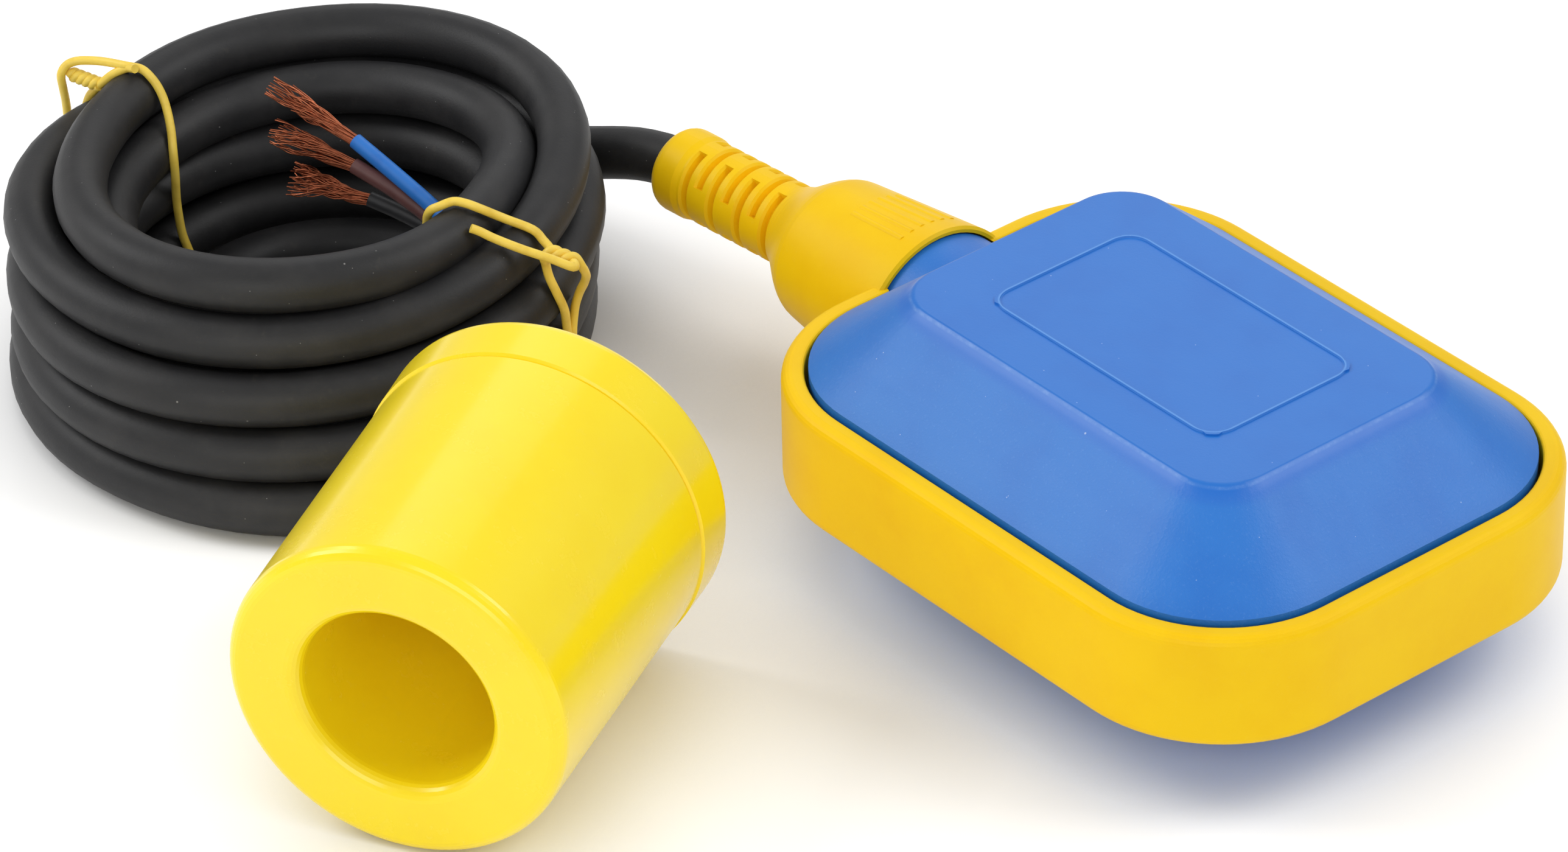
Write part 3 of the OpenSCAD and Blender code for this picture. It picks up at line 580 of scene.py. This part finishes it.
def addTube(name, paths, settings, slot, replaced):
    # One curve with an open spline for each path, given in millimetres
    curve = bpy.data.curves.new(name, "CURVE")
    curve.dimensions = "3D"
    curve.bevel_depth = mm * settings["diameter"] / 2
    curve.bevel_resolution = settings["roundness"]
    curve.use_fill_caps = True
    for path in paths:
        spline = curve.splines.new("POLY")
        spline.points.add(len(path) - 1)
        for point, place in zip(spline.points, path):
            point.co = (*(mm * Vector(place)), 1)
        spline.use_smooth = True
    tube = bpy.data.objects.new(name, curve)
    bpy.context.scene.collection.objects.link(tube)
    curve.materials.append(finishes[slot])
    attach(tube, "housing")
    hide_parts(*replaced)
    return tube


# Cable: from the strain relief's tip into the coil, whose turns wander as in the photograph
cableSettings = {
    "diameter": 8,
    "roundness": 6,
    "steps": 2,
    "stationSteps": 6,
    "leadRoute": [(-106.7, -1.94, 21), (-110, -2.4, 20.9), (-114, -3.7, 20.4), (-118, -5.3, 19.4),
                  (-122, -6.7, 18.1)],
    "coilCentre": (-124, -55),
    "firstAngle": 96,
    "stationAngle": 60,
    # Radius and height of each turn, from the lead by the back, the left, the front and the right
    "turns": [
        [(47.6, 15.6), (45.8, 8), (43.4, 4.5), (43.4, 4.2), (43, 4.5), (35.4, 7.6)],
        [(39.2, 10.4), (38.5, 11.4), (41.6, 12.2), (43.2, 12), (39.4, 11.8), (36, 15.6)],
        [(39, 18.4), (41.2, 18.8), (42.2, 19.8), (42.4, 19.8), (36, 19.4), (36.5, 23.3)],
        [(40.4, 26.2), (40.4, 26), (43.2, 27.3), (38.4, 27), (32.4, 26.9), (33.7, 30.8)],
        [(39.7, 34.4), (39.3, 33.4), (35.2, 33), (34.4, 34.2), (28.8, 33.7), (26.2, 32.8)],
        [(31.4, 30), (32.8, 27.4), (31.5, 25.4), (29, 24.6), (25.2, 23.6), (25.6, 22.6)],
        [(30.4, 21.2), (31.5, 19.6), (33.5, 17.8), (33, 16.8), (28.6, 15.2), (27, 13.8)],
        [(30.4, 11.6), (31, 10.2), (31.4, 7.8), (29, 5.6), (27, 5.2), (26.2, 5.4)],
        [(24.8, 6), (23.2, 6.2), (21.4, 6.8), (21.6, 8.8), (20.4, 12.6), (18, 18.8)],
    ],
    "coilEnd": [(-112.9, -41.3, 21)],
}


def windingPath(settings):
    # Radius and height are smoothed over the angle, so the turns stay round between the stations
    steps = settings["stationSteps"]
    centreX, centreY = settings["coilCentre"]
    stations = [Vector((radius, height, 0))
                for turn in settings["turns"] for radius, height in turn]
    path = []
    for index, station in enumerate(smoothPath(stations, steps)):
        angle = math.radians(settings["firstAngle"] + settings["stationAngle"] * index / steps)
        path.append(Vector((centreX + station.x * math.cos(angle),
                            centreY + station.x * math.sin(angle), station.y)))
    return path


cablePath = smoothPath([*cableSettings["leadRoute"], *windingPath(cableSettings),
                        *cableSettings["coilEnd"]], cableSettings["steps"])
cable = addTube("cable", [cablePath], cableSettings, "cable_rubber", ["cable_lead", "cable_coil"])
cableLength = mm * sum((later - here).length for here, later in zip(cablePath, cablePath[1:]))
print("stage: cable,", round(cableLength, 3), "m")


# Cores: they leave the cable's end inside the coil and rise across its opening
coreSettings = {
    "diameter": 2.4,
    "roundness": 4,
    "steps": 6,
    "core_blue": [(-110.6, -43.4, 21.4), (-113.4, -40.4, 23), (-116.4, -39.7, 24.2),
                  (-124, -40.9, 27.1), (-132.4, -42.2, 29.9)],
    "core_brown": [(-111, -43.4, 19.8), (-114, -40.4, 21.2), (-117.2, -39.8, 22.2),
                   (-124.2, -41.4, 24.7), (-130.9, -43.8, 27)],
    "core_black": [(-111.4, -42.4, 19.6), (-114.6, -39.6, 19.8), (-118.2, -39.3, 20),
                   (-124, -41, 21), (-128.4, -43, 22)],
}
coreColours = ("blue", "brown", "black")
corePieces = [addTube("insulation_" + colour.title(),
                      [smoothPath(coreSettings["core_" + colour], coreSettings["steps"])],
                      coreSettings, "core_" + colour, ["core_" + colour])
              for colour in coreColours]

# Copper strands: frayed bundles of fine wires, each wire wandering round its bundle's route
strandSettings = {
    "wires": 56,
    "diameter": 0.24,
    "roundness": 0,
    "steps": 4,
    "seed": 7,
    "lay": (0.5, 1.3),
    "layLength": 9,
    "shortening": 0.45,
    "fewestPoints": 4,
    "wave": (0.15, 0.6),
    "waveTurns": (1.1, 0.8),
    "strands_blue": {"route": [(-131.8, -42, 29.7), (-135.2, -43.6, 31.4), (-138.7, -45.1, 33),
                               (-142, -46.4, 34.6), (-145.4, -47.6, 36)],
                     "spread": [0.85, 1.0, 1.4, 1.8, 2.1]},
    "strands_brown": {"route": [(-130.3, -43.6, 26.8), (-133.8, -45.2, 27.6), (-137.3, -46.7, 28.4),
                                (-139.8, -48.4, 29.2), (-142.4, -50, 30)],
                      "spread": [0.85, 1.1, 1.6, 2.0, 2.2]},
    "strands_black": {"route": [(-128, -42.9, 21.9), (-131, -45, 22.4), (-133.8, -46.8, 23),
                                (-136, -48.9, 23.8), (-137.8, -50.4, 24.4)],
                      "spread": [0.85, 1.1, 1.5, 2.2, 2.7]},
}


def across(start, end):
    # Two directions square to the line from start to end, the first of them level
    along = (end - start).normalized()
    side = along.cross(Vector((0, 0, 1))).normalized()
    return side, side.cross(along)


def frayedBundle(bundle, settings, chance):
    # Each wire has its own place in the bundle, and its own lay, length and wave
    middle = smoothPath(bundle["route"], settings["steps"])
    spread = [value.x for value in smoothPath([(value, 0, 0) for value in bundle["spread"]],
                                              settings["steps"])]
    side, up = across(middle[0], middle[-1])
    sideTurns, upTurns = settings["waveTurns"]
    wires = []
    for wire in range(settings["wires"]):
        place = math.sqrt(chance.random())
        angle = chance.uniform(0, math.tau)
        lay = chance.uniform(*settings["lay"]) / settings["layLength"]
        length = 1 - settings["shortening"] * chance.random() ** 2
        reach = max(settings["fewestPoints"], round(len(middle) * length))
        wave, phase = chance.uniform(*settings["wave"]), chance.uniform(0, math.tau)
        wires.append([
            point + (spread[index] * place) * (math.cos(angle + lay * index) * side
                                               + math.sin(angle + lay * index) * up)
            + wave * (index / len(middle)) * (math.sin(phase + sideTurns * index) * side
                                              + math.cos(phase + upTurns * index) * up)
            for index, point in enumerate(middle[:reach])])
    return wires


def addStrands(settings):
    chance = random.Random(settings["seed"])
    return [addTube("copper_" + colour.title(),
                    frayedBundle(settings["strands_" + colour], settings, chance),
                    settings, "copper", ["strands_" + colour])
            for colour in coreColours]


strandPieces = addStrands(strandSettings)
print("stage: cores and strands")

# Tie wires: each passes under the turns, hugs them and is twisted shut on the outside
tieSettings = {
    "diameter": 1.35,
    "roundness": 3,
    "steps": 4,
    "twistSteps": 2,
    "twistPoints": 10,
    # Each twist's start, end, number of turns and width in wire diameters
    "rearTwist": ((-164.8, -64.9, 33.9), (-169.2, -67.2, 34.8), 2.5, 0.75),
    "frontTwist": ((-87.4, -41.4, 31.8), (-82.8, -40.2, 31.8), 1.5, 1),
    "rearRoute": [(-166, -64.8, 0.75), (-158, -63, 0.75), (-150.6, -61.2, 1.6),
                  (-149.6, -60.8, 5.6), (-150, -60.9, 9), (-151.2, -61.3, 12.4),
                  (-151.6, -61.5, 15.6), (-151.6, -61.7, 19), (-150.9, -62.1, 23.4),
                  (-151, -62.1, 27.4), (-153, -60.9, 30.4), (-155.2, -60.1, 33.2),
                  (-156.6, -60.2, 35.4), (-158, -60.7, 37), (-159.4, -61.2, 37.7),
                  (-160.9, -62.5, 38), (-164.4, -63.6, 37.5), (-166.6, -64.7, 37.2),
                  (-168.4, -66.4, 37), (-169.2, -67.8, 36.4), (-169.4, -68.7, 35),
                  (-170, -68.1, 32), (-171.2, -67, 28), (-171.9, -66.4, 20), (-172.3, -66.2, 8),
                  (-171, -66, 2), (-166, -64.8, 0.75)],
    "rearSecond": [(-158.9, -62.5, 38.4), (-161, -62.6, 37.6), (-162.6, -64, 36.4),
                   (-164, -64.9, 34.8), (-165.6, -65.2, 33), (-168, -65.2, 30), (-170.2, -65, 24),
                   (-171, -64.8, 14)],
    "frontRoute": [(-94, -41.4, 0.75), (-99, -43.6, 0.75), (-103, -45.6, 3), (-103.6, -46.6, 12),
                   (-103, -47.6, 18), (-104.4, -48.2, 24), (-103.6, -50.6, 30),
                   (-102.6, -51.6, 34.4), (-101.2, -51.9, 36.7), (-100.1, -51.1, 37.6),
                   (-99.2, -49.3, 38.1), (-97.7, -48.3, 38.1), (-96.2, -47.2, 37.6),
                   (-94.4, -43.6, 35), (-91.1, -41.3, 33.8), (-89.6, -40.6, 32.4),
                   (-88, -40.6, 31.6)],
    "frontOuterLeg": [(-82.6, -39.2, 30.8), (-83.2, -38, 28.6), (-84.9, -37, 26),
                      (-86.8, -36.6, 23), (-87.6, -37, 19.6), (-87.2, -37.8, 14), (-85.6, -37.6, 7),
                      (-87, -38, 1.2), (-94, -41.4, 0.75)],
    "frontInnerLeg": [(-86.2, -37.4, 8), (-87, -38.2, 13.6), (-87.4, -38.6, 17.5),
                      (-86.5, -39.6, 21.4), (-86.6, -40.7, 24.6), (-88, -41, 27),
                      (-88.2, -41.4, 29.4), (-87.4, -42.2, 31.2)],
    "frontLooseEnd": [(-82.2, -40.8, 32.2), (-81.4, -41.6, 32.2), (-84.4, -43.3, 32.9),
                      (-88, -45.3, 33.5), (-91.6, -47.6, 34.6), (-93.2, -49.2, 35.8),
                      (-94, -50.2, 36.4)],
}


def twistedPair(settings, start, end, turns, width):
    # Two wires wound round one another
    start, end = Vector(start), Vector(end)
    side, up = across(start, end)
    radius = 0.5 * width * settings["diameter"]
    steps = round(settings["twistPoints"] * turns)
    return [[start.lerp(end, step / steps)
             + radius * (math.cos(phase + math.tau * turns * step / steps) * side
                         + math.sin(phase + math.tau * turns * step / steps) * up)
             for step in range(steps + 1)] for phase in (0, math.pi)]


def addTies(settings):
    rearTwist = twistedPair(settings, *settings["rearTwist"])
    frontFirst, frontOther = twistedPair(settings, *settings["frontTwist"])
    rear = [*(smoothPath(wire, settings["steps"])
              for wire in (settings["rearRoute"], settings["rearSecond"])),
            *(smoothPath(wire, settings["twistSteps"]) for wire in rearTwist)]
    front = [smoothPath(wire, settings["steps"])
             for wire in ([*settings["frontRoute"], *frontFirst, *settings["frontOuterLeg"]],
                          [*settings["frontInnerLeg"], *frontOther, *settings["frontLooseEnd"]])]
    return [addTube("rearTie", rear, settings, "tie_wire", ["tie_rear"]),
            addTube("frontTie", front, settings, "tie_wire", ["tie_front"])]


ties = addTies(tieSettings)
print("stage: ties")


# Studio: white floor and soft light
studioSettings = {
    "floorSize": 8,
    "floorLevel": -0.0002,
    "floorRoughness": 0.9,
    "floorSheen": 0.1,
    "floorShade": 0.88,
    # What the camera sees is a little darker and glows, except where it is sheltered
    "floorSeen": 0.80,
    "floorGlow": 0.38,
    "shelterDistance": 0.05,
    "shelterRange": (0.25, 0.9),
    "shelterSamples": 16,
    "worldStrength": 0.50,
    "aim": (-0.06, -0.04, 0.02),
    "lamps": {
        "leftLight": {"place": (-1.2, -0.9, 1.2), "size": 0.9, "power": 13},
        "frontLight": {"place": (1.0, -1.3, 0.8), "size": 1.2, "power": 11},
        "rightLight": {"place": (0.7, 1.0, 1.35), "size": 0.9, "power": 11},
        "rearLight": {"place": (-1.0, 1.0, 0.9), "size": 1.0, "power": 3},
    },
}


def addStudio(settings):
    bpy.ops.mesh.primitive_plane_add(size=settings["floorSize"],
                                     location=(0, 0, settings["floorLevel"]))
    floor = bpy.context.object
    floor.name = "floor"
    finish = Finish("whiteFloor", {"Roughness": settings["floorRoughness"], "Emission Strength": 1,
                                   "Specular IOR Level": settings["floorSheen"]})
    path = finish.node("ShaderNodeLightPath", {}, {}, "Is Camera Ray").socket.node
    cameraRay, glossyRay, clearRay = (Signal(finish, path.outputs["Is " + kind + " Ray"])
                                      for kind in ("Camera", "Glossy", "Transmission"))
    seen = (cameraRay + glossyRay + clearRay).atMost(1)
    openSky = finish.node("ShaderNodeAmbientOcclusion", {"samples": settings["shelterSamples"]},
                          {"Distance": settings["shelterDistance"]}, "AO")
    floor.data.materials.append(finish.done({
        "Base Color": finish.mix(seen, [settings["floorShade"]] * 3, [settings["floorSeen"]] * 3),
        "Emission Color": finish.mix(seen * openSky.rising(*settings["shelterRange"]), (0, 0, 0),
                                     [settings["floorGlow"]] * 3),
    }))
    world = bpy.data.worlds.new("studio")
    world.use_nodes = True
    background = world.node_tree.nodes["Background"]
    background.inputs["Color"].default_value = (1, 1, 1, 1)
    background.inputs["Strength"].default_value = settings["worldStrength"]
    bpy.context.scene.world = world
    for name, lamp in settings["lamps"].items():
        bpy.ops.object.light_add(type="AREA", location=lamp["place"])
        light = bpy.context.object
        light.name = name
        light.data.size = lamp["size"]
        light.data.energy = lamp["power"]
        aim = Vector(settings["aim"]) - Vector(lamp["place"])
        light.rotation_euler = aim.to_track_quat("-Z", "Y").to_euler()


addStudio(studioSettings)
bpy.context.scene.view_settings.view_transform = "Standard"
print("stage: studio")

bpy.context.view_layer.update()
